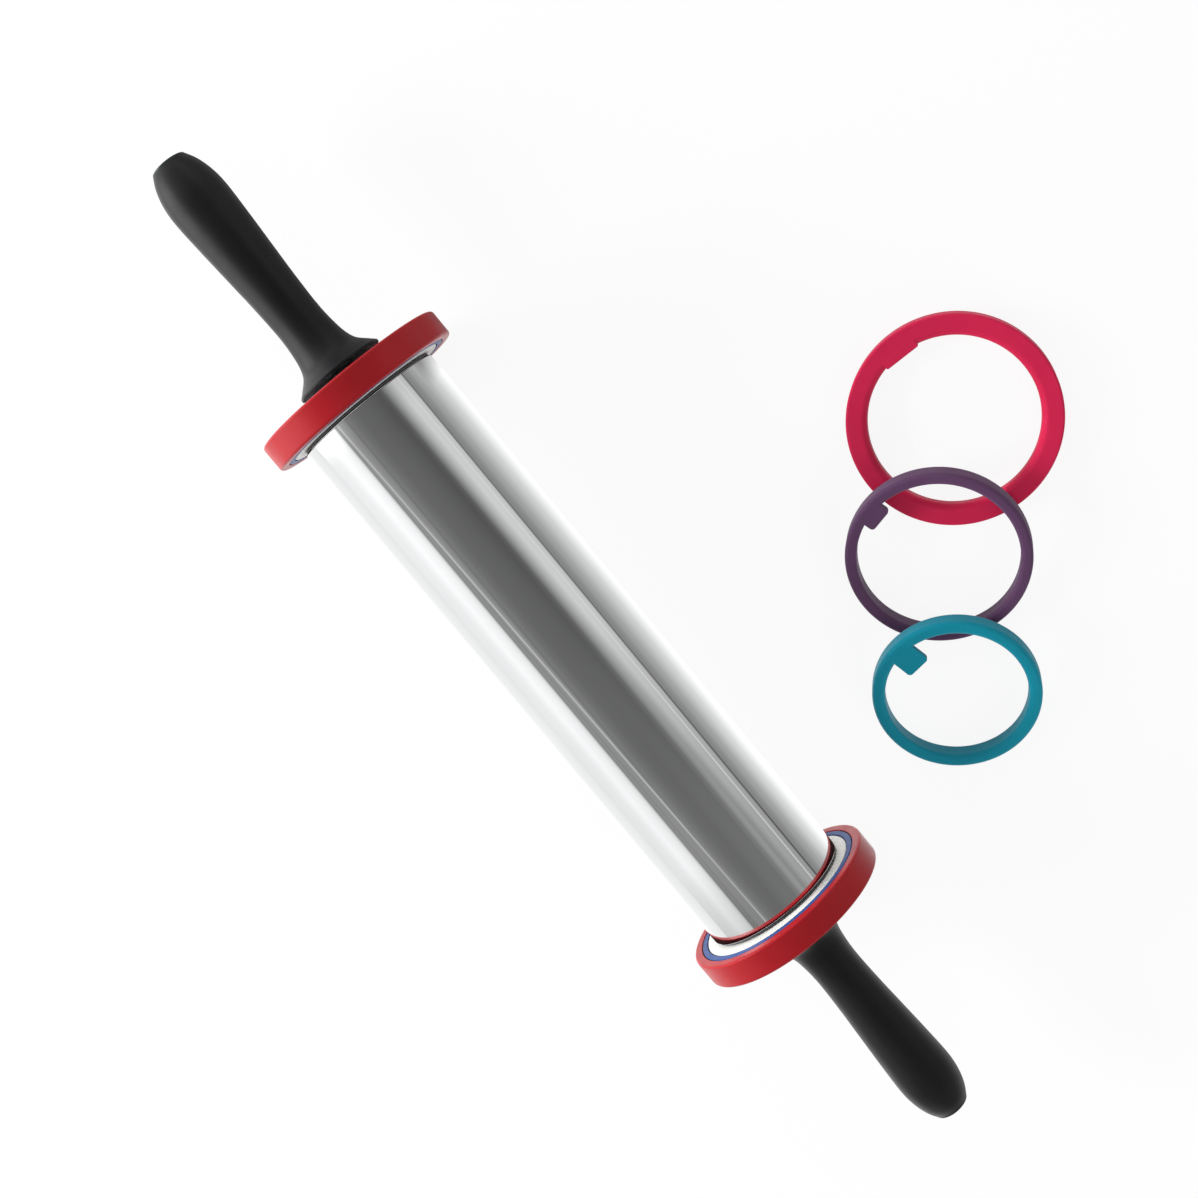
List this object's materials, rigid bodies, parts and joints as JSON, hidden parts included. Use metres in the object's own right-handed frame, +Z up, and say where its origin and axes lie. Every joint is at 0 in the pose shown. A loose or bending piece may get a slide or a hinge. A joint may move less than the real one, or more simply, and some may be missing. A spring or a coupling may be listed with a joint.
{
  "type": "adjustable rolling pin",
  "caption": "Steel rolling pin with bearing handles, nested colour thickness rings at both ends that pull off over the handles, and spare rings beside it.",
  "frame": {"origin": "on the table, under the middle of the box round the pin and the loose rings", "axes": "+X along the pin's axis, +Z up, +Y from the pin towards the loose rings"},
  "size_m": [0.4438, 0.2248, 0.0757],
  "materials": {
    "polished_steel": "mirror polished",
    "bearing_steel": "ground",
    "axle_steel": "turned",
    "hub_plastic": "satin",
    "core_plastic": "satin",
    "soft_black": "soft touch, matte",
    "plug_green": "satin",
    "cage_plastic": "matte",
    "cream_plastic": "satin",
    "blue_plastic": "satin",
    "red_plastic": "gloss",
    "crimson_plastic": "satin",
    "purple_plastic": "satin",
    "teal_plastic": "satin"
  },
  "bodies": {
    "axle": {"axle_rod": "axle_steel", "left_bearing_inner_ring": "bearing_steel", "left_axle_clip": "bearing_steel", "left_spacer_sleeve": "axle_steel", "left_handle_core": "core_plastic", "left_handle_grip": "soft_black", "left_handle_washer": "bearing_steel", "left_handle_nut": "bearing_steel", "left_end_plug": "plug_green", "right_bearing_inner_ring": "bearing_steel", "right_axle_clip": "bearing_steel", "right_spacer_sleeve": "axle_steel", "right_handle_core": "core_plastic", "right_handle_grip": "soft_black", "right_handle_washer": "bearing_steel", "right_handle_nut": "bearing_steel", "right_end_plug": "plug_green"},
    "barrel": {"barrel_tube": "polished_steel", "left_end_hub": "hub_plastic", "left_bearing_outer_ring": "bearing_steel", "left_bearing_cover": "core_plastic", "right_end_hub": "hub_plastic", "right_bearing_outer_ring": "bearing_steel", "right_bearing_cover": "core_plastic"},
    "left_balls": {"left_ball_1": "bearing_steel", "left_ball_2": "bearing_steel", "left_ball_3": "bearing_steel", "left_ball_4": "bearing_steel", "left_ball_5": "bearing_steel", "left_ball_6": "bearing_steel", "left_ball_7": "bearing_steel", "left_ball_cage": "cage_plastic"},
    "left_cream": {"left_cream_ring": "cream_plastic"},
    "left_blue": {"left_blue_ring": "blue_plastic"},
    "left_red": {"left_red_ring": "red_plastic"},
    "right_balls": {"right_ball_1": "bearing_steel", "right_ball_2": "bearing_steel", "right_ball_3": "bearing_steel", "right_ball_4": "bearing_steel", "right_ball_5": "bearing_steel", "right_ball_6": "bearing_steel", "right_ball_7": "bearing_steel", "right_ball_cage": "cage_plastic"},
    "right_cream": {"right_cream_ring": "cream_plastic"},
    "right_blue": {"right_blue_ring": "blue_plastic"},
    "right_red": {"right_red_ring": "red_plastic"},
    "loose_crimson": {"loose_crimson_ring": "crimson_plastic"},
    "loose_purple": {"loose_purple_ring": "purple_plastic"},
    "loose_teal": {"loose_teal_ring": "teal_plastic"}
  },
  "joints": [
    {"name": "barrel_spin", "type": "hinge", "parent": "axle", "child": "barrel", "pos_m": [0, -0.07455, 0.03786], "axis": [1, 0, 0], "continuous": true},
    {"name": "left_balls_roll", "type": "hinge", "parent": "axle", "child": "left_balls", "pos_m": [-0.118, -0.07455, 0.03786], "axis": [1, 0, 0], "continuous": true},
    {"name": "left_cream_pull_off", "type": "slide", "parent": "barrel", "child": "left_cream", "axis": [-1, 0, 0], "range_m": [0, 0.112]},
    {"name": "left_blue_pull_off", "type": "slide", "parent": "left_cream", "child": "left_blue", "axis": [-1, 0, 0], "range_m": [0, 0.112]},
    {"name": "left_red_pull_off", "type": "slide", "parent": "left_blue", "child": "left_red", "axis": [-1, 0, 0], "range_m": [0, 0.112]},
    {"name": "right_balls_roll", "type": "hinge", "parent": "axle", "child": "right_balls", "pos_m": [0.118, -0.07455, 0.03786], "axis": [1, 0, 0], "continuous": true},
    {"name": "right_cream_pull_off", "type": "slide", "parent": "barrel", "child": "right_cream", "axis": [1, 0, 0], "range_m": [0, 0.112]},
    {"name": "right_blue_pull_off", "type": "slide", "parent": "right_cream", "child": "right_blue", "axis": [1, 0, 0], "range_m": [0, 0.112]},
    {"name": "right_red_pull_off", "type": "slide", "parent": "right_blue", "child": "right_red", "axis": [1, 0, 0], "range_m": [0, 0.112]},
    {"name": "loose_crimson_lift", "type": "slide", "parent": "axle", "child": "loose_crimson", "axis": [0, 0, 1], "range_m": [0, 0.1]},
    {"name": "loose_purple_lift", "type": "slide", "parent": "loose_crimson", "child": "loose_purple", "axis": [0, 0, 1], "range_m": [0, 0.1]},
    {"name": "loose_teal_lift", "type": "slide", "parent": "loose_purple", "child": "loose_teal", "axis": [0, 0, 1], "range_m": [0, 0.1]}
  ],
  "couplings": [
    {"joint": "left_balls_roll", "follows": "barrel_spin", "ratio": 0.6323},
    {"joint": "right_balls_roll", "follows": "barrel_spin", "ratio": 0.6323}
  ]
}
